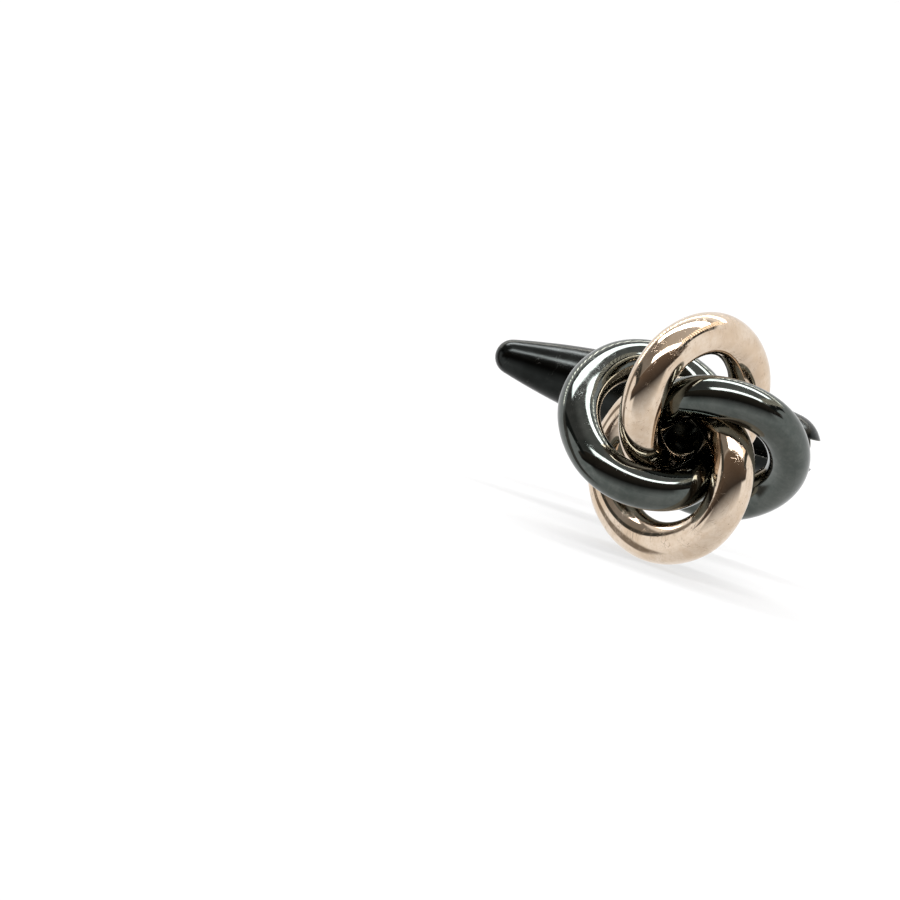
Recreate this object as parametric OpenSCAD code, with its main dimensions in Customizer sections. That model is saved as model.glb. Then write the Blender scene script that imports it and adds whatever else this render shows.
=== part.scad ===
/* [Knot] */
// Diameter of the round wire that every ring is bent from
wire_d = 2.2; // [1.6:0.05:3]
// Solder gap that is left where two rings meet
ring_gap = 0.06; // [0.02:0.01:0.2]
// Lean of each ring out of the face of the knot, in degrees
ring_tilt = 51.5; // [51:0.1:52]
// Turn of the knot about the post, clockwise from the front, in degrees
knot_turn = 1.5; // [-10:0.1:10]

/* [Back cup] */
// Diameter of the rim that the shirt cuff bears on
cup_d = 5.4; // [5:0.1:6]
// Thickness of the rim
cup_rim_t = 0.45; // [0.3:0.05:0.8]
// Diameter of the nose that reaches into the throat of the knot
nose_d = 3; // [2.8:0.1:3.2]
// Length of the nose in front of the rim
nose_len = 1.7; // [1.5:0.1:1.8]
// Clearance of a soldered, riveted or pressed seat
seat_clear = 0.02; // [0.01:0.01:0.04]

/* [Post] */
// Distance from the rim to the hinge
post_len = 9.8; // [9.7:0.1:14]
// Width of the flat post, along the toggle
post_w = 2; // [1.6:0.1:2.1]
// Thickness of the flat post
post_t = 1.5; // [1.2:0.05:1.6]
// Rounding of the long edges of the post
post_edge_r = 0.35; // [0.1:0.05:0.45]
// Diameter of the collar at the root of the post
collar_d = 3.4; // [3.2:0.1:4]
// Height of the collar
collar_h = 0.8; // [0.5:0.1:0.9]
// Thickness of the collar's edge
collar_edge_t = 0.25; // [0.15:0.05:0.4]
// Diameter of the stem that is riveted through the cup
stem_d = 1.5; // [1.2:0.1:1.6]
// Diameter of the rivet head at the bottom of the throat
rivet_d = 2; // [1.8:0.05:2.1]
// Rise of the rivet head
rivet_rise = 0.4; // [0.2:0.05:0.45]
// Length of the squared end of the post, before the hinge
eye_block = 2.6; // [1.5:0.1:4]
// Radius of the rounded corners of the cam at the hinge
eye_r = 1.15; // [1.12:0.01:1.25]
// Distance of the flat on the end of the cam from the hinge
eye_flat = 1.05; // [0.95:0.01:1.1]

/* [Toggle] */
// Greatest width of the toggle
toggle_w = 4.4; // [4.2:0.1:5]
// Reach of the blunt end from the hinge
blunt_reach = 8.6; // [7:0.1:8.7]
// Reach of the slim end from the hinge
slim_reach = 9.6; // [7.5:0.1:12]
// Radius of the rounded blunt end
blunt_r = 1.8; // [1.6:0.05:1.9]
// Radius of the rounded slim tip
slim_r = 0.95; // [0.5:0.05:1.2]
// Distance of the widest place from the hinge, towards the blunt end
widest_at = 1.4; // [0.5:0.1:2]
// Distance of the flat back from the hinge
flat_back = 1.9; // [1.85:0.01:2]
// Clearance between the post and each wall of the slot
slot_clear = 0.06; // [0.04:0.01:0.12]

/* [Hinge and spring] */
// Diameter of the hinge pin
pin_d = 0.9; // [0.6:0.05:1]
// Running clearance between the pin and the eye, on the radius
pin_clear = 0.05; // [0.02:0.01:0.08]
// Diameter of the riveted heads of the pin
head_d = 1.4; // [1.2:0.05:1.8]
// Thickness of each head at its edge
head_t = 0.3; // [0.2:0.05:0.4]
// Rise of the dome on each head
head_rise = 0.06; // [0.02:0.01:0.1]
// Width of the leaf spring
leaf_w = 2; // [1.9:0.05:2.2]
// Thickness of the leaf spring
leaf_t = 0.16; // [0.1:0.01:0.2]
// Length of the leaf spring
leaf_len = 5.6; // [4.5:0.1:6]
// Rise of the hook at the end of the leaf spring
leaf_hook = 0.22; // [0.1:0.01:0.25]
// Play of the leaf spring over the cam and in its groove
leaf_clear = 0.04; // [0.02:0.01:0.05]

/* [Hidden] */
$fn = 96;
fine_fn = 720;
overrun = 1;

ROSE = [0.87, 0.71, 0.61];
BLACK = [0.24, 0.25, 0.24];
STEEL = [0.75, 0.76, 0.77];

// Four rings lie closest when the lengths of a ring keep these shares of the distance between wires
wire_pitch = wire_d + ring_gap;
end_share = 1.4674;
step_share = 0.1964;
offset_share = 0.492;

// The centre line of a ring is an oval of four arcs: two tight ends and two flatter flanks.
// The centres of the arcs are the corners of right triangles whose sides are whole shares of a
// step, and a step is whole grains, so that neighbouring arcs end on exactly the same plane
across_share = 3;
down_share = 4;
slant_share = 5;
grain = 0.0001;
step = grain * round(wire_pitch * step_share / grain);
ring_end_r = grain * round(wire_pitch * end_share / grain);
end_shift = across_share * step;
flank_drop = down_share * step;
flank_r = ring_end_r + slant_share * step;
ring_long_r = ring_end_r + end_shift;
ring_short_r = flank_r - flank_drop;
ring_offset = ring_short_r * offset_share;
wedge_x = across_share * flank_r;
wedge_y = down_share * flank_r;

// The crowns of the knot stand off the front plane of the cup's rim
knot_back = ring_long_r * sin(ring_tilt) + wire_d / 2;
knot_centre_y = -cup_rim_t - 2 * seat_clear - knot_back;

// The rings bear on a cone round the nose. Seen from the knot's centre, their centre lines come
// nearest to it at this share of the distance between wires, so many degrees past the rings' lean
seat_share = 1.7629;
seat_past = 1.94;
cone_lean = 24.1;
seat_r = wire_pitch * seat_share * cos(ring_tilt + seat_past) - wire_d / 2 - 2 * seat_clear;
seat_y = knot_centre_y + wire_pitch * seat_share * sin(ring_tilt + seat_past);
nose_tip_y = -cup_rim_t - nose_len;
nose_tip_r = seat_r + (nose_tip_y - seat_y) * tan(cone_lean);
cone_len = (nose_d / 2 - nose_tip_r) / tan(cone_lean);
flare_r = min(nose_len - cone_len, (cup_d - cup_rim_t - nose_d) / 2);

toggle_r = toggle_w / 2;
slot_w = post_t + 2 * slot_clear;
slot_end = eye_r + slot_clear;
leaf_seat = eye_r + leaf_clear;
leaf_start = -eye_r;
leaf_end = leaf_start + leaf_len;
groove_w = leaf_w + 2 * leaf_clear;
groove_h = leaf_t + leaf_clear;
head_seat = toggle_r - head_t - head_rise;

// A low dome that stands on the XY plane
module dome(d, rise) {
    ball_r = (pow(d / 2, 2) + pow(rise, 2)) / (2 * rise);
    rotate_extrude() intersection() {
        translate([0, rise - ball_r]) circle(ball_r, $fn = fine_fn);
        square([d / 2, rise]);
    }
}

// Lays what stands on the XY plane along the post, its top towards the hinge
module along_post() {
    rotate([-90, 0, 0]) children();
}

// The stretch of a round hoop of wire that lies between two corners, seen from its centre
module wire_arc(arc_r, corner, next_corner) {
    intersection() {
        rotate_extrude() translate([arc_r, 0]) circle(d = wire_d);
        linear_extrude(2 * wire_d, center = true) polygon([[0, 0], corner, next_corner]);
    }
}

// A closed ring of round wire, flat in XY, with its long axis along X
module wire_ring() {
    for (turn = [0, 180]) rotate([0, 0, turn]) {
        translate([end_shift, 0, 0])
            wire_arc(ring_end_r, [wedge_x, -wedge_y], [wedge_x, wedge_y]);
        translate([0, -flank_drop, 0])
            wire_arc(flank_r, [wedge_x, wedge_y], [-wedge_x, wedge_y]);
    }
}

// One ring leans out of the face, and each next one is a quarter turn further round
module knot_ring(quarter) {
    translate([0, knot_centre_y, 0]) rotate([90, 0, 0]) rotate([0, 0, -knot_turn - 90 * quarter])
        translate([0, ring_offset, 0]) rotate([0, ring_tilt, 0]) wire_ring();
}

module rose_ring_top() {
    color(ROSE) knot_ring(0);
}

module black_ring_right() {
    color(BLACK) knot_ring(1);
}

module rose_ring_bottom() {
    color(ROSE) knot_ring(2);
}

module black_ring_left() {
    color(BLACK) knot_ring(3);
}

// The nose is coned at its tip, and flares at its root into a rim with a full round edge
module cup_section() {
    polygon([[0, 0], [nose_tip_r, 0], [nose_d / 2, cone_len], [nose_d / 2, nose_len], [0, nose_len]]);
    difference() {
        translate([0, nose_len - flare_r]) square([nose_d / 2 + flare_r, flare_r]);
        translate([nose_d / 2 + flare_r, nose_len - flare_r]) circle(flare_r);
    }
    translate([0, nose_len]) square([cup_d / 2 - cup_rim_t / 2, cup_rim_t]);
    translate([cup_d / 2 - cup_rim_t / 2, nose_len + cup_rim_t / 2]) circle(d = cup_rim_t);
}

// Cup between knot and cuff: the four rings bear on the cone of its nose
module back_cup() {
    color(BLACK) difference() {
        translate([0, nose_tip_y, 0]) along_post() rotate_extrude() cup_section();
        translate([0, nose_tip_y - overrun, 0]) along_post()
            cylinder(d = stem_d + 2 * seat_clear, h = nose_len + cup_rim_t + 2 * overrun);
    }
}

module post_section() {
    square([post_w - 2 * post_edge_r, post_t], center = true);
    square([post_w, post_t - 2 * post_edge_r], center = true);
    for (x = [-1, 1], y = [-1, 1])
        translate([x * (post_w / 2 - post_edge_r), y * (post_t / 2 - post_edge_r)]) circle(post_edge_r);
}

module collar_section() {
    difference() {
        square([collar_d / 2, collar_h]);
        translate([collar_d / 2, collar_h]) circle(collar_h - collar_edge_t);
    }
}

// Cam that the leaf spring bears on: flats on its end and sides, with round corners between them
module eye_section() {
    intersection() {
        union() {
            circle(eye_r);
            translate([-post_w / 2, -eye_block]) square([post_w, eye_block]);
        }
        translate([-post_w / 2, -eye_block]) square([post_w, eye_block + eye_flat]);
    }
}

// Flat post: rivet head, stem, collar and shaft, and the eye for the hinge pin
module post() {
    color(BLACK) difference() {
        union() {
            translate([0, nose_tip_y, 0]) rotate([90, 0, 0]) dome(rivet_d, rivet_rise);
            translate([0, nose_tip_y, 0]) along_post() cylinder(d = stem_d, h = -nose_tip_y);
            along_post() rotate_extrude() collar_section();
            along_post() linear_extrude(post_len - eye_block) post_section();
            translate([0, post_len, 0]) linear_extrude(post_t, center = true) eye_section();
        }
        translate([0, post_len, 0])
            cylinder(d = pin_d + 2 * pin_clear, h = post_t + 2 * overrun, center = true);
    }
}

// Half of the toggle's outline, from its widest place to an end: a long arc, tangent into a round end
module side_section(reach, end_r) {
    run = reach - end_r;
    side_r = (pow(run, 2) / (toggle_r - end_r) + toggle_r + end_r) / 2;
    intersection() {
        translate([toggle_r - side_r, 0]) circle(side_r, $fn = fine_fn);
        square([toggle_r, run * side_r / (side_r - end_r)]);
    }
    intersection() {
        translate([0, run]) circle(end_r);
        square([end_r, reach]);
    }
}

// Solid toggle about its own axis, along X, with the hinge at the origin
module toggle_blank() {
    intersection() {
        translate([widest_at, 0, 0]) {
            rotate([0, 90, 0]) rotate_extrude() side_section(blunt_reach - widest_at, blunt_r);
            rotate([0, -90, 0]) rotate_extrude() side_section(slim_reach + widest_at, slim_r);
        }
        translate([-slim_reach - overrun, -toggle_w, -toggle_w])
            cube([slim_reach + blunt_reach + 2 * overrun, toggle_w + flat_back, 2 * toggle_w]);
    }
}

// Room for the post, open towards the knot and out through the blunt end
module post_slot() {
    translate([-slot_end, -toggle_w, -slot_w / 2])
        cube([slot_end + blunt_reach + overrun, toggle_w + leaf_seat, slot_w]);
}

// Groove behind the slot, with a notch for the hook of the spring
module leaf_groove() {
    translate([leaf_start - leaf_clear, leaf_seat, -groove_w / 2])
        cube([leaf_len + 2 * leaf_clear, groove_h, groove_w]);
    translate([leaf_end - leaf_t - leaf_clear, leaf_seat, -groove_w / 2])
        cube([leaf_t + 2 * leaf_clear, groove_h + leaf_hook, groove_w]);
}

module pin_holes() {
    cylinder(d = pin_d + 2 * seat_clear, h = toggle_w + 2 * overrun, center = true);
    for (side = [0, 180]) rotate([side, 0, 0])
        translate([0, 0, head_seat]) cylinder(d = head_d + 2 * seat_clear, h = toggle_r);
}

module toggle_body() {
    color(BLACK) translate([0, post_len, 0]) difference() {
        toggle_blank();
        post_slot();
        leaf_groove();
        pin_holes();
    }
}

module hinge_pin() {
    color(BLACK) translate([0, post_len, 0]) {
        cylinder(d = pin_d, h = 2 * head_seat, center = true);
        for (side = [0, 180]) rotate([side, 0, 0]) {
            translate([0, 0, head_seat]) cylinder(d = head_d, h = head_t);
            translate([0, 0, head_seat + head_t]) dome(head_d, head_rise);
        }
    }
}

module leaf_spring() {
    color(STEEL) translate([0, post_len + leaf_seat, -leaf_w / 2]) {
        translate([leaf_start, 0, 0]) cube([leaf_len, leaf_t, leaf_w]);
        translate([leaf_end - leaf_t, 0, 0]) cube([leaf_t, leaf_t + leaf_hook, leaf_w]);
    }
}

rose_ring_top();
rose_ring_bottom();
black_ring_left();
black_ring_right();
back_cup();
post();
toggle_body();
hinge_pin();
leaf_spring();
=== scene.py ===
"""Cufflink with a four-ring knot face and a swivel toggle, dressed for rendering. Metres, CAD frame."""
import math
import bpy
from mathutils import Matrix, Vector


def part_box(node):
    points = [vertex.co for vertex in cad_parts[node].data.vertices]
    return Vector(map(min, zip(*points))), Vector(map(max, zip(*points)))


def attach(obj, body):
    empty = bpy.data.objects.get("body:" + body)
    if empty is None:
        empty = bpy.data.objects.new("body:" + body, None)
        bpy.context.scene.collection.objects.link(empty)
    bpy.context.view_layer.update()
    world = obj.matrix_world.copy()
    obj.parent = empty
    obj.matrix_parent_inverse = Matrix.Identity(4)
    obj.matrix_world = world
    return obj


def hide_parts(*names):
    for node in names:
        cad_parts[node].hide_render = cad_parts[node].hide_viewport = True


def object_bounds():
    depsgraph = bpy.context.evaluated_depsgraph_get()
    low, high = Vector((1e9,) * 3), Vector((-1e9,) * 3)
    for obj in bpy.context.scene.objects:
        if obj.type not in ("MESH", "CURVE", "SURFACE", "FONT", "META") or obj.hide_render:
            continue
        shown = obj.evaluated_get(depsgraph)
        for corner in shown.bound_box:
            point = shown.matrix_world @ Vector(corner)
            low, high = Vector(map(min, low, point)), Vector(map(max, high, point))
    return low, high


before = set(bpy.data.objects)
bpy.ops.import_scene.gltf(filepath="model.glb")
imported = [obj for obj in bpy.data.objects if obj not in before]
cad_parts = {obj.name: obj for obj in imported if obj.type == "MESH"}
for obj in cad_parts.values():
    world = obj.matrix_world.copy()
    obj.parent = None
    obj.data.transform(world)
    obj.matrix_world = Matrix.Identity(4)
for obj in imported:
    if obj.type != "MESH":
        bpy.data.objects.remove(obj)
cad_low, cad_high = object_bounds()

MM = 0.001
TURN = 2 * math.pi

# Camera: it looks at the knot's centre from this side, and the knot stands at this place in the picture
VIEW_AZIMUTH = -5.06
VIEW_ELEVATION = 4.7
VIEW_ROLL = 18.3
VIEW_DISTANCE = 400 * MM
PICTURE_SIDE = 900
KNOT_PIXEL = (682.9, 436.4)
PIXELS_PER_MM = 19.4
SENSOR_WIDTH_MM = 36
CLIP_START = 10 * MM
CLIP_END = 10000 * MM

# The wire rings, with the same driving sizes and shares as the solids
WIRE_D = 2.2 * MM
RING_GAP = 0.06 * MM
RING_TILT = 51.5
KNOT_TURN = 1.5
END_SHARE = 1.4674
STEP_SHARE = 0.1964
OFFSET_SHARE = 0.492
GRAIN = 0.0001 * MM

# How many stretches a ring's mesh has along the wire and round it
ALONG = 256
ROUND = 72

# A ring's centre line: two tight ends and two flatter flanks, whose centres lie whole steps from the middle
WIRE_PITCH = WIRE_D + RING_GAP
STEP = GRAIN * round(WIRE_PITCH * STEP_SHARE / GRAIN)
END_R = GRAIN * round(WIRE_PITCH * END_SHARE / GRAIN)
END_SHIFT = 3 * STEP
FLANK_DROP = 4 * STEP
FLANK_R = END_R + 5 * STEP

# Materials. Noise and cell scales are per millimetre
CLOUD_DETAIL = 4.0
MOTTLE_ROUGHNESS = 0.7
MOTTLE_RANGE = (0.4, 0.75)
ROUGHER_RANGE = (0.3, 0.8)
STREAK_SHARE = 0.4
STREAKS_AROUND = 7.0
STREAKS_ALONG = 1.6
WAVE_SCALE = 0.9
SCRATCH_AXIS = (0.5, 0.3, 0.8)
SCRATCH_BEND_SCALE = 0.7
SCRATCH_BEND = 0.35
SCRATCH_PATCH_SCALE = 1.6
SCRATCH_PATCH_SOFTNESS = 0.05
PIT_FLOOR_SHARE = 0.4
BEVEL_SAMPLES = 6
BROKEN_EDGE_MM = 0.05
RUBBED_EDGE_MM = 0.12
RUBBED_EDGE_RANGE = (0.86, 0.995)
RUBBED_CLOUD_RANGE = (0.35, 0.65)
RUBBED_SHARES = (0.25, 0.8)
RUBBED_TONE = (0.34, 0.33, 0.29)
LINE_TONE_SHARE = 0.6
PART_SCRATCH_ROUGHNESS = 0.12

# Light of the tent's surfaces and lamps, where 1 is a white wall
WALL_LIGHT = (0.90, 0.90, 0.90)
LOW_WALL_LIGHT = (0.66, 0.65, 0.64)
CORNER_LIGHT = (0.22, 0.20, 0.18)
OPENING_LOW_LIGHT = (0.035, 0.030, 0.027)
OPENING_HIGH_LIGHT = (0.15, 0.115, 0.09)
ROOF_LEFT_LIGHT = (0.22, 0.21, 0.20)
ROOF_RIGHT_LIGHT = (0.50, 0.48, 0.46)
FLANK_LIGHT = (0.045, 0.048, 0.045)
SIDE_LAMP_LIGHT = (2.4, 2.1, 1.75)
SIDE_LAMP_GAP_LIGHT = (0.0, 0.0, 0.0)
BACK_LAMP_LIGHT = (8.0, 7.6, 6.8)
BACK_LAMP_GAP_LIGHT = (0.3, 0.3, 0.3)
BAR_LAMP_LIGHT = (11.0, 11.0, 11.2)

# Where they lie, in the measures of direction that Tent works out: from a low to a high value, and in a
# band with a third value for how soft its edges are
LOW_WALL_Y = (-1.0, -0.4)
CORNER_Z = (-0.42, -0.14, 0.04)
CORNER_X = (-0.85, -0.65)
SILL_LIFT = (-8, 2)
DIP_LIFT = (-42, 2)
DIP_ACROSS = (1.1, 1.7)
OPENING_TOP_LIFT = (40, 43)
OPENING_ACROSS = (3.0, 5.0)
OPENING_SHADE_LIFT = (0, 43)
ROOF_LIFT = (41, 118, 3)
ROOF_ACROSS = (1.2, 1.8)
ROOF_SHADE_SLOPE = (-0.5, 0.1)
LEFT_FLANK_LIFT = (30, 118, 6)
LEFT_FLANK_SLOPE = (-2.0, -1.2, 0.1)
RIGHT_FLANK_LIFT = (30, 118, 5)
RIGHT_FLANK_SLOPE = (1.45, 2.5, 0.15)
SIDE_LAMP_TILT = (46, 60, 1)
SIDE_LAMP_Z = (-0.4, 0.42, 0.01)
SIDE_LAMP_RIB_RATE = 157
BACK_LAMP_LIFT = (128, 135, 1)
BACK_LAMP_ACROSS = (1.0, 1.1)
BACK_LAMP_RIB_RATE = 110
RIB_EDGE = (-0.3, 0.5)
RIB_GAP_SHARE = 0.1
LOW_BAR_LIFT = (43, 54, 1)
LOW_BAR_SLOPE = (-0.35, 1.03, 0.06)
HIGH_BAR_LIFT = (96, 110, 1)
HIGH_BAR_SLOPE = (-0.45, 1.03, 0.06)

# Floor: the camera sees its colour and this glow together as white, but for the shadow
FLOOR_REACH = 1500 * MM
FLOOR_TONE = 0.2
FLOOR_GLOW = 0.69


def knot_centre():
    """The middle of the box that the four rings fill."""
    boxes = [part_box(name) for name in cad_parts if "_ring_" in name]
    low = Vector(min(b[0][i] for b in boxes) for i in range(3))
    high = Vector(max(b[1][i] for b in boxes) for i in range(3))
    return (low + high) / 2


def towards_viewer():
    """The direction from the knot to the photograph's viewpoint."""
    azimuth, elevation = math.radians(VIEW_AZIMUTH), math.radians(VIEW_ELEVATION)
    return Vector((math.sin(azimuth) * math.cos(elevation),
                   -math.cos(azimuth) * math.cos(elevation),
                   math.sin(elevation)))


def view_aim():
    """The turn of a camera at that viewpoint which looks at the knot, rolled as the photograph is."""
    roll = Matrix.Rotation(math.radians(VIEW_ROLL), 3, "Z").to_quaternion()
    return (-towards_viewer()).to_track_quat("-Z", "Y") @ roll


def make_camera():
    """A camera that sees the knot at its pixel, with no lens shift."""
    focal_px = PIXELS_PER_MM * VIEW_DISTANCE / MM
    seen = Vector((KNOT_PIXEL[0] - PICTURE_SIDE / 2, PICTURE_SIDE / 2 - KNOT_PIXEL[1], -focal_px))
    turn = seen.rotation_difference(Vector((0, 0, -1)))
    data = bpy.data.cameras.new("camera")
    data.sensor_width = SENSOR_WIDTH_MM
    data.lens = focal_px / PICTURE_SIDE * SENSOR_WIDTH_MM
    data.clip_start = CLIP_START
    data.clip_end = CLIP_END
    camera = bpy.data.objects.new("camera", data)
    camera.rotation_mode = "QUATERNION"
    camera.location = knot_centre() + towards_viewer() * VIEW_DISTANCE
    camera.rotation_quaternion = view_aim() @ turn
    bpy.context.scene.collection.objects.link(camera)
    bpy.context.scene.camera = camera


# Node trees

class Tree:
    """Adds nodes to the tree of a material or of the world."""

    def __init__(self, tree):
        self.tree = tree

    def add(self, kind, inputs=None, **settings):
        node = self.tree.nodes.new("ShaderNode" + kind)
        for key, value in settings.items():
            setattr(node, key, value)
        for key, value in (inputs or {}).items():
            self.put(node.inputs[key], value)
        return node

    def put(self, socket, value):
        if isinstance(value, bpy.types.NodeSocket):
            self.tree.links.new(value, socket)
        else:
            socket.default_value = value

    def math(self, operation, a, b=0.0):
        return self.add("Math", {0: a, 1: b}, operation=operation).outputs[0]

    def times(self, a, b):
        return self.math("MULTIPLY", a, b)

    def dot(self, a, b):
        return self.add("VectorMath", {0: a, 1: b}, operation="DOT_PRODUCT").outputs["Value"]

    def scale(self, vector, factors):
        return self.add("VectorMath", {0: vector, 1: factors}, operation="MULTIPLY").outputs[0]

    def line(self, value, low, high, start=0.0, end=1.0, **settings):
        """A straight ramp from start to end as value goes from low to high, held at its ends."""
        return self.add("MapRange", {"Value": value, "From Min": low, "From Max": high, "To Min": start,
                                     "To Max": end}, **settings).outputs["Result"]

    def ease(self, value, low, high, start=0.0, end=1.0):
        """The same with a smooth step."""
        return self.line(value, low, high, start, end, interpolation_type="SMOOTHSTEP")

    def fade(self, value, low, high):
        """One up to low, and nought from high on."""
        return self.ease(value, low, high, 1.0, 0.0)

    def band(self, value, low, high, soft):
        """One between low and high, and nought outside, with soft edges."""
        rise = self.ease(value, low - soft, low + soft)
        return self.times(rise, self.fade(value, high - soft, high + soft))

    def mix(self, factor, a, b):
        """Colour a where factor is nought and colour b where it is one."""
        a, b = (tone if isinstance(tone, bpy.types.NodeSocket) else (*tone, 1.0) for tone in (a, b))
        return self.add("Mix", {"Factor": factor, 6: a, 7: b}, data_type="RGBA").outputs[2]

    def noise(self, vector, scale, detail=2.0, roughness=0.5, w=None):
        inputs = {"Vector": vector, "Scale": scale, "Detail": detail, "Roughness": roughness}
        if w is not None:
            inputs["W"] = w
        return self.add("TexNoise", inputs, noise_dimensions="3D" if w is None else "4D").outputs[0]


class Metal(Tree):
    """A metal: Principled, with its place on the piece in millimetres."""

    def __init__(self, name):
        self.material = bpy.data.materials.new(name)
        self.material.use_nodes = True
        super().__init__(self.material.node_tree)
        self.bsdf = self.tree.nodes["Principled BSDF"]
        self.bsdf.inputs["Metallic"].default_value = 1.0
        self.mm = self.scale(self.add("TexCoord").outputs["Object"], (1 / MM, 1 / MM, 1 / MM))
        self.normal = None

    def hairlines(self, slimness, share, width, scale, turn):
        """Thin broken scratches: the walls of long thin cells, kept in a share of the places."""
        turned = self.add("VectorRotate",
                          {"Vector": self.mm, "Axis": SCRATCH_AXIS, "Angle": math.radians(turn)},
                          rotation_type="AXIS_ANGLE").outputs[0]
        drift = self.add("TexNoise", {"Vector": self.mm, "Scale": SCRATCH_BEND_SCALE}).outputs[1]
        bent = self.add("VectorMath", {0: turned, 1: self.scale(drift, (SCRATCH_BEND,) * 3)},
                        operation="ADD").outputs[0]
        walls = self.add("TexVoronoi", {"Vector": self.scale(bent, (1.0, slimness, 1.0)), "Scale": scale},
                         feature="DISTANCE_TO_EDGE").outputs["Distance"]
        patches = self.noise(turned, SCRATCH_PATCH_SCALE, detail=3.0)
        kept = self.ease(patches, 1.0 - share - SCRATCH_PATCH_SOFTNESS, 1.0 - share + SCRATCH_PATCH_SOFTNESS)
        return self.times(self.fade(walls, 0.0, width), kept)

    def pits(self, scale, size, share):
        """Small round pits, in a share of the cells."""
        cells = self.add("TexVoronoi", {"Vector": self.mm, "Scale": scale})
        chance = self.add("SeparateColor", {0: cells.outputs["Color"]}).outputs[0]
        return self.times(self.fade(cells.outputs["Distance"], size * PIT_FLOOR_SHARE, size),
                          self.math("LESS_THAN", chance, share))

    def rounded(self, reach):
        """The surface direction with its edges broken by that many millimetres."""
        return self.add("Bevel", {"Radius": reach * MM}, samples=BEVEL_SAMPLES).outputs["Normal"]

    def edges(self, reach):
        """Where the surface turns sharply within that many millimetres."""
        flat = self.add("NewGeometry").outputs["Normal"]
        return self.fade(self.dot(self.rounded(reach), flat), *RUBBED_EDGE_RANGE)

    def streaks(self):
        """Polishing streaks that run along a wire, with no seam, from the wire's own coordinates."""
        uv = self.add("SeparateXYZ", {0: self.add("UVMap", uv_map="wire").outputs[0]})
        turns = [self.times(uv.outputs[i], TURN) for i in range(2)]
        lengthwise = [self.math(f, turns[0]) for f in ("COSINE", "SINE")]
        crosswise = [self.math(f, turns[1]) for f in ("COSINE", "SINE")]
        place = self.add("CombineXYZ", {0: self.times(crosswise[0], STREAKS_AROUND),
                                        1: self.times(crosswise[1], STREAKS_AROUND),
                                        2: self.times(lengthwise[0], STREAKS_ALONG)}).outputs[0]
        return self.noise(place, 1.0, w=self.times(lengthwise[1], STREAKS_ALONG))

    def patch(self, tone, pattern, low_high, share, patch_tone):
        """Mixes up to that share of another colour in, as the pattern goes from low to high."""
        return self.mix(self.ease(pattern, *low_high, 0.0, share), tone, patch_tone)

    def stain(self, tone, marks, share, stain_tone):
        """Mixes that share of another colour into the marks."""
        return self.mix(self.times(marks, share), tone, stain_tone)

    def bump(self, height, depth_um):
        """Adds relief of that depth in micrometres on top of what is there."""
        inputs = {"Height": height, "Distance": depth_um * MM * MM, "Strength": 1.0}
        if self.normal is not None:
            inputs["Normal"] = self.normal
        self.normal = self.add("Bump", inputs).outputs["Normal"]

    def dent(self, marks, depth_um):
        """Sinks the marks by that depth in micrometres."""
        self.bump(self.math("SUBTRACT", 1.0, marks), depth_um)

    def finish(self, tone, roughness):
        self.put(self.bsdf.inputs["Base Color"], tone)
        self.put(self.bsdf.inputs["Roughness"], roughness)
        self.put(self.bsdf.inputs["Normal"], self.normal)
        return self.material


# Materials

def wire_plate(name, cloud_scale, cloud_roughness, cloud_range, tones, mottle_scale, mottle_share,
               mottle_tone, streak_range, streak_tone, scratches, scratch_share, scratch_tone, pits,
               pit_share, pit_tone, smooth, rough, scratch_roughness, wave_um, streak_um, mottle_um, mark_um):
    """Polished plating on a wire: clouds and mottling, polishing streaks, hairlines and pits."""
    metal = Metal(name)
    clouds = metal.noise(metal.mm, cloud_scale, CLOUD_DETAIL, cloud_roughness)
    mottle = metal.noise(metal.mm, mottle_scale, CLOUD_DETAIL, MOTTLE_ROUGHNESS)
    streaks = metal.streaks()
    hairlines = metal.math("MAXIMUM", *(metal.hairlines(**scratch) for scratch in scratches))
    holes = metal.pits(**pits)
    tone = metal.mix(metal.ease(clouds, *cloud_range), *tones)
    tone = metal.patch(tone, mottle, MOTTLE_RANGE, mottle_share, mottle_tone)
    tone = metal.patch(tone, streaks, streak_range, STREAK_SHARE, streak_tone)
    tone = metal.stain(tone, hairlines, scratch_share, scratch_tone)
    tone = metal.stain(tone, holes, pit_share, pit_tone)
    roughness = metal.math("ADD", metal.line(mottle, *ROUGHER_RANGE, smooth, rough),
                           metal.times(hairlines, scratch_roughness))
    metal.bump(metal.noise(metal.mm, WAVE_SCALE, detail=1.0), wave_um)
    metal.bump(streaks, streak_um)
    metal.bump(mottle, mottle_um)
    metal.dent(metal.math("MAXIMUM", hairlines, holes), mark_um)
    return metal.finish(tone, roughness)


def rose_gold():
    """Polished rose gold plating with coppery clouds."""
    return wire_plate(
        "rose_gold_plate",
        cloud_scale=0.5, cloud_roughness=0.65, cloud_range=(0.38, 0.66),
        tones=((0.90, 0.75, 0.60), (0.77, 0.60, 0.44)),
        mottle_scale=2.4, mottle_share=0.55, mottle_tone=(0.70, 0.535, 0.385),
        streak_range=(0.45, 0.75), streak_tone=(0.76, 0.58, 0.435),
        scratches=(dict(slimness=9.0, share=0.44, width=0.024, scale=1.1, turn=25),
                   dict(slimness=12.0, share=0.40, width=0.020, scale=1.5, turn=115)),
        scratch_share=0.6, scratch_tone=(0.30, 0.18, 0.12),
        pits=dict(scale=1.9, size=0.09, share=0.4), pit_share=0.75, pit_tone=(0.16, 0.10, 0.07),
        smooth=0.03, rough=0.10, scratch_roughness=0.18,
        wave_um=6.0, streak_um=1.0, mottle_um=0.5, mark_um=1.5)


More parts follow.
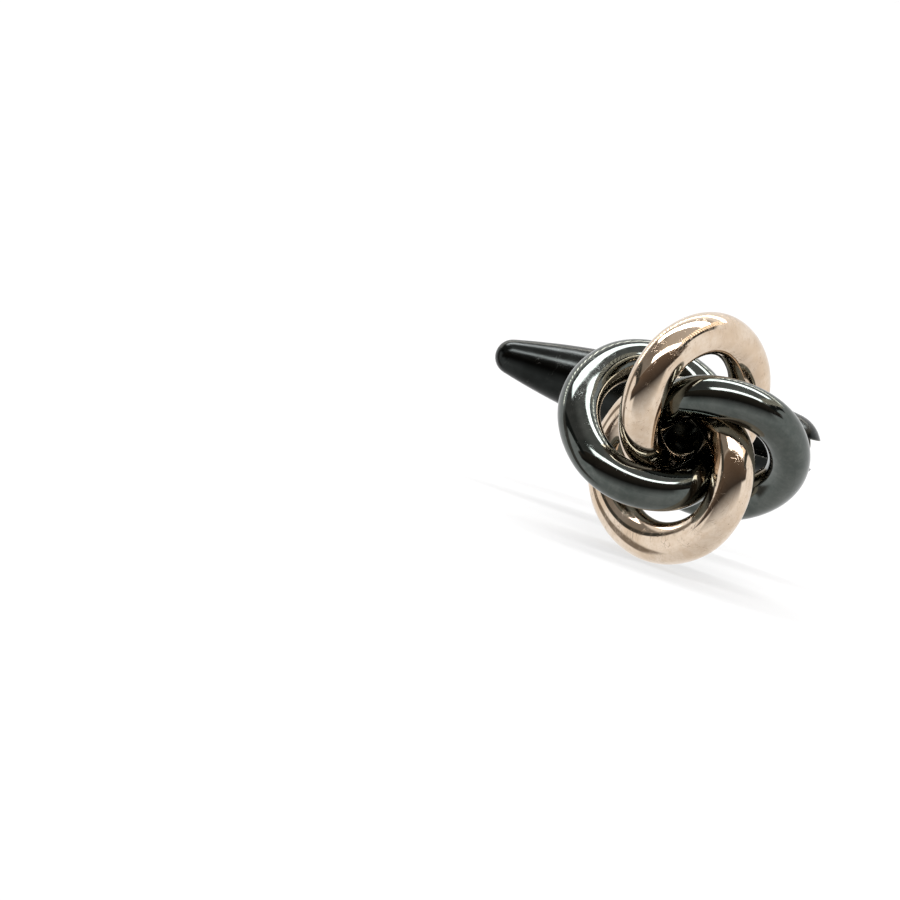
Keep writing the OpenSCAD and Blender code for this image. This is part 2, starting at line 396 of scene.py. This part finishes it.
def black_plate():
    """Polished black plating: a greenish grey mirror with hazy patches."""
    return wire_plate(
        "black_plate",
        cloud_scale=0.6, cloud_roughness=0.6, cloud_range=(0.3, 0.7),
        tones=((0.088, 0.102, 0.094), (0.128, 0.140, 0.130)),
        mottle_scale=2.8, mottle_share=0.6, mottle_tone=(0.160, 0.170, 0.158),
        streak_range=(0.5, 0.8), streak_tone=(0.075, 0.084, 0.078),
        scratches=(dict(slimness=10.0, share=0.38, width=0.020, scale=1.2, turn=70),
                   dict(slimness=12.0, share=0.36, width=0.016, scale=1.7, turn=160)),
        scratch_share=0.4, scratch_tone=(0.22, 0.22, 0.20),
        pits=dict(scale=2.1, size=0.07, share=0.3), pit_share=0.6, pit_tone=(0.03, 0.03, 0.03),
        smooth=0.03, rough=0.12, scratch_roughness=0.15,
        wave_um=5.0, streak_um=0.8, mottle_um=0.6, mark_um=0.8)


def black_part(name, grain, dark, pale, smooth, rough, line_um=1.0):
    """Black plating on a turned, milled or polished part: tool lines along its grain, and rubbed edges."""
    metal = Metal(name)
    metal.normal = metal.rounded(BROKEN_EDGE_MM)
    clouds = metal.noise(metal.mm, scale=0.5, detail=CLOUD_DETAIL, roughness=0.6)
    lines = metal.noise(metal.scale(metal.mm, grain), scale=1.0, detail=3.0, roughness=0.65)
    hairlines = metal.hairlines(slimness=10.0, share=0.40, width=0.022, scale=1.2, turn=70)
    rubbed = metal.times(metal.edges(RUBBED_EDGE_MM), metal.ease(clouds, *RUBBED_CLOUD_RANGE, *RUBBED_SHARES))
    line_tone = [value * LINE_TONE_SHARE for value in dark]
    tone = metal.mix(metal.ease(clouds, low=0.3, high=0.7), dark, pale)
    tone = metal.patch(tone, lines, low_high=(0.45, 0.8), share=0.5, patch_tone=line_tone)
    tone = metal.stain(tone, hairlines, share=0.5, stain_tone=(0.24, 0.24, 0.22))
    tone = metal.mix(rubbed, tone, RUBBED_TONE)
    roughness = metal.math("ADD", metal.line(lines, *ROUGHER_RANGE, smooth, rough),
                           metal.times(hairlines, PART_SCRATCH_ROUGHNESS))
    metal.bump(metal.noise(metal.mm, WAVE_SCALE, detail=1.0), depth_um=3.0)
    metal.bump(lines, line_um)
    metal.dent(hairlines, depth_um=1.2)
    return metal.finish(tone, roughness)


def spring_steel():
    """Rolled spring strip: fine lines along the leaf, and a light straw tint."""
    metal = Metal("spring_steel")
    lines = metal.noise(metal.scale(metal.mm, (0.3, 14.0, 14.0)), scale=1.0, detail=3.0, roughness=0.6)
    tint = metal.noise(metal.mm, scale=0.5)
    tone = metal.mix(metal.ease(tint, low=0.4, high=0.7), (0.56, 0.56, 0.57), (0.58, 0.53, 0.44))
    tone = metal.patch(tone, lines, low_high=(0.5, 0.8), share=0.5, patch_tone=(0.36, 0.35, 0.34))
    metal.bump(lines, depth_um=1.5)
    return metal.finish(tone, metal.line(lines, low=0.3, high=0.7, start=0.2, end=0.34))


# The knot

def oval():
    """Places and outward directions round the centre line of a ring, evenly spaced along it."""
    corner = math.atan2(FLANK_DROP, END_SHIFT)
    arcs = [(END_SHIFT, 0, END_R, -corner, corner),
            (0, -FLANK_DROP, FLANK_R, corner, math.pi - corner),
            (-END_SHIFT, 0, END_R, math.pi - corner, math.pi + corner),
            (0, FLANK_DROP, FLANK_R, math.pi + corner, TURN - corner)]
    lengths = [r * (stop - start) for x, y, r, start, stop in arcs]
    whole = sum(lengths)
    for i in range(ALONG):
        rest = whole * i / ALONG
        for (x, y, r, start, stop), length in zip(arcs, lengths):
            if rest < length:
                break
            rest -= length
        angle = start + rest / r
        out = Vector((math.cos(angle), math.sin(angle), 0))
        yield Vector((x, y, 0)) + out * r, out


def wire_ring(name, quarter):
    """One ring of the knot as a fine swept mesh, with coordinates along and around its wire."""
    short_r = FLANK_R - FLANK_DROP
    place = (Matrix.Translation(knot_centre())
             @ Matrix.Rotation(math.radians(90), 4, "X")
             @ Matrix.Rotation(math.radians(-KNOT_TURN - 90 * quarter), 4, "Z")
             @ Matrix.Translation((0, short_r * OFFSET_SHARE, 0))
             @ Matrix.Rotation(math.radians(RING_TILT), 4, "Y"))
    verts = []
    for centre, out in oval():
        for j in range(ROUND):
            angle = TURN * j / ROUND
            spoke = math.cos(angle) * out + Vector((0, 0, math.sin(angle)))
            verts.append(place @ (centre + WIRE_D / 2 * spoke))
    faces, corners = [], []
    for i in range(ALONG):
        for j in range(ROUND):
            steps = ((i, j), (i + 1, j), (i + 1, j + 1), (i, j + 1))
            faces.append([a % ALONG * ROUND + b % ROUND for a, b in steps])
            corners += [(a / ALONG, b / ROUND) for a, b in steps]
    mesh = bpy.data.meshes.new(name)
    mesh.from_pydata(verts, [], faces)
    layer = mesh.uv_layers.new(name="wire")
    layer.data.foreach_set("uv", [value for corner in corners for value in corner])
    mesh.shade_smooth()
    ring = bpy.data.objects.new(name, mesh)
    bpy.context.scene.collection.objects.link(ring)
    return ring


# The studio

class Tent(Tree):
    """The light that comes from each direction. Each surface is painted over the ones before it."""

    def __init__(self, tree):
        super().__init__(tree)
        way = self.add("TexCoord").outputs["Generated"]
        right, up = (view_aim() @ Vector(axis) for axis in ((1, 0, 0), (0, 1, 0)))
        # Shares of the direction to the right, upwards and towards the viewer
        self.x, self.y, self.z = (self.dot(way, tuple(axis)) for axis in (right, up, towards_viewer()))
        # Degrees up from the viewer and over the top, and degrees to the right from straight up
        self.lift = self.times(self.math("ARCTAN2", self.y, self.z), 180 / math.pi)
        self.tilt = self.times(self.math("ARCTAN2", self.x, self.y), 180 / math.pi)
        # Slope to the right out of the upright plane through the viewer, and its size to either side
        self.slope = self.math("DIVIDE", self.x, self.math("SQRT", self.math(
            "ADD", self.times(self.y, self.y), self.times(self.z, self.z))))
        self.across = self.math("ABSOLUTE", self.slope)
        # Pale walls all round, greyer low down
        self.light = self.mix(self.line(self.y, *LOW_WALL_Y), LOW_WALL_LIGHT, WALL_LIGHT)

    def paint(self, where, light):
        self.light = self.mix(where, self.light, light)

    def ribs(self, value, rate, gap_light, light):
        """Light of a lamp behind a ribbed cover: a wave of that many radians per unit of value."""
        rib = self.ease(self.math("SINE", self.times(value, rate)), *RIB_EDGE, RIB_GAP_SHARE)
        return self.mix(rib, gap_light, light)

    def paint_corner(self):
        """A dark corner of the room, seen past the tent on the left."""
        self.paint(self.times(self.band(self.z, *CORNER_Z), self.fade(self.x, *CORNER_X)), CORNER_LIGHT)

    def paint_opening(self):
        """The dark opening towards the viewer, browner high up. Its sill is soft and dips in the middle."""
        dip = self.times(self.line(self.lift, *DIP_LIFT), self.fade(self.across, *DIP_ACROSS))
        above_sill = self.math("MAXIMUM", self.ease(self.lift, *SILL_LIFT), dip)
        height = self.times(above_sill, self.fade(self.lift, *OPENING_TOP_LIFT))
        inside = self.mix(self.line(self.lift, *OPENING_SHADE_LIFT), OPENING_LOW_LIGHT, OPENING_HIGH_LIGHT)
        self.paint(self.times(height, self.fade(self.across, *OPENING_ACROSS)), inside)

    def paint_roof(self):
        """A grey roof between the lamps, darker on the left, with a black flank on either side."""
        roof = self.times(self.band(self.lift, *ROOF_LIFT), self.fade(self.across, *ROOF_ACROSS))
        grey = self.mix(self.ease(self.slope, *ROOF_SHADE_SLOPE), ROOF_LEFT_LIGHT, ROOF_RIGHT_LIGHT)
        self.paint(roof, grey)
        left = self.times(self.band(self.lift, *LEFT_FLANK_LIFT), self.band(self.slope, *LEFT_FLANK_SLOPE))
        right = self.times(self.band(self.lift, *RIGHT_FLANK_LIFT), self.band(self.slope, *RIGHT_FLANK_SLOPE))
        self.paint(self.math("MAXIMUM", left, right), FLANK_LIGHT)

    def paint_lamps(self):
        """A ribbed lamp up on the right, another behind the roof, and two plain bars across the roof."""
        side = self.times(self.band(self.tilt, *SIDE_LAMP_TILT), self.band(self.z, *SIDE_LAMP_Z))
        self.paint(side, self.ribs(self.z, SIDE_LAMP_RIB_RATE, SIDE_LAMP_GAP_LIGHT, SIDE_LAMP_LIGHT))
        behind = self.times(self.band(self.lift, *BACK_LAMP_LIFT), self.fade(self.across, *BACK_LAMP_ACROSS))
        self.paint(behind, self.ribs(self.slope, BACK_LAMP_RIB_RATE, BACK_LAMP_GAP_LIGHT, BACK_LAMP_LIGHT))
        for lifts, slopes in ((LOW_BAR_LIFT, LOW_BAR_SLOPE), (HIGH_BAR_LIFT, HIGH_BAR_SLOPE)):
            bar = self.times(self.band(self.lift, *lifts), self.band(self.slope, *slopes))
            self.paint(bar, BAR_LAMP_LIGHT)


def make_world():
    """A light tent round the cufflink, which the camera itself sees as plain white."""
    world = bpy.data.worlds.new("light_tent")
    bpy.context.scene.world = world
    world.use_nodes = True
    tent = Tent(world.node_tree)
    tent.paint_corner()
    tent.paint_opening()
    tent.paint_roof()
    tent.paint_lamps()
    tent.paint(tent.add("LightPath").outputs["Is Camera Ray"], (1.0, 1.0, 1.0))
    tent.put(world.node_tree.nodes["Background"].inputs["Color"], tent.light)


def make_floor():
    """A pale sheet under the cufflink, which keeps its shadow. The metal reflects the tent in its place."""
    signs = ((-1, -1), (1, -1), (1, 1), (-1, 1))
    corners = [(a * FLOOR_REACH, b * FLOOR_REACH, cad_low[2]) for a, b in signs]
    mesh = bpy.data.meshes.new("floor")
    mesh.from_pydata(corners, [], [(0, 1, 2, 3)])
    floor = bpy.data.objects.new("floor", mesh)
    bpy.context.scene.collection.objects.link(floor)
    material = bpy.data.materials.new("floor")
    material.use_nodes = True
    tree = Tree(material.node_tree)
    bsdf = material.node_tree.nodes["Principled BSDF"]
    bsdf.inputs["Base Color"].default_value = (FLOOR_TONE, FLOOR_TONE, FLOOR_TONE, 1.0)
    bsdf.inputs["Roughness"].default_value = 1.0
    bsdf.inputs["Specular IOR Level"].default_value = 0.0
    bsdf.inputs["Emission Color"].default_value = (1.0, 1.0, 1.0, 1.0)
    seen = tree.add("LightPath").outputs["Is Camera Ray"]
    tree.put(bsdf.inputs["Emission Strength"], tree.times(seen, FLOOR_GLOW))
    mesh.materials.append(material)
    floor.visible_glossy = False


make_camera()
make_world()
make_floor()
bpy.context.scene.view_settings.view_transform = "Standard"

rose, black = rose_gold(), black_plate()
for quarter, side in enumerate(("rose_ring_top", "black_ring_right", "rose_ring_bottom", "black_ring_left")):
    piece = wire_ring(side + "_wire", quarter)
    piece.data.materials.append(rose if "rose" in side else black)
    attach(piece, "head")
    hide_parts(side)
    "rose_gold_plate" if "rose" in side else "black_plate"

parts = {
    "back_cup": black_part("black_cup", grain=(5.0, 16.0, 5.0), dark=(0.045, 0.050, 0.045),
                           pale=(0.070, 0.075, 0.068), smooth=0.10, rough=0.20, line_um=0.5),
    "post": black_part("black_post", grain=(6.0, 0.5, 6.0), dark=(0.045, 0.048, 0.040),
                       pale=(0.070, 0.073, 0.062), smooth=0.20, rough=0.34, line_um=0.5),
    # Painted shade: the toggle gets a darker copy of the black plating than the other parts, so that it looks
    # as dark as it does in the shade behind the knot
    "toggle_body": black_part("shaded_black_toggle", grain=(0.3, 5.0, 5.0), dark=(0.020, 0.022, 0.021),
                              pale=(0.034, 0.037, 0.036), smooth=0.16, rough=0.27),
    "hinge_pin": black_part("black_pin", grain=(6.0, 6.0, 6.0), dark=(0.060, 0.065, 0.060),
                            pale=(0.090, 0.095, 0.088), smooth=0.16, rough=0.30),
    "leaf_spring": spring_steel(),
}
for name, material in parts.items():
    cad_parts[name].data.materials.clear()
    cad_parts[name].data.materials.append(material)
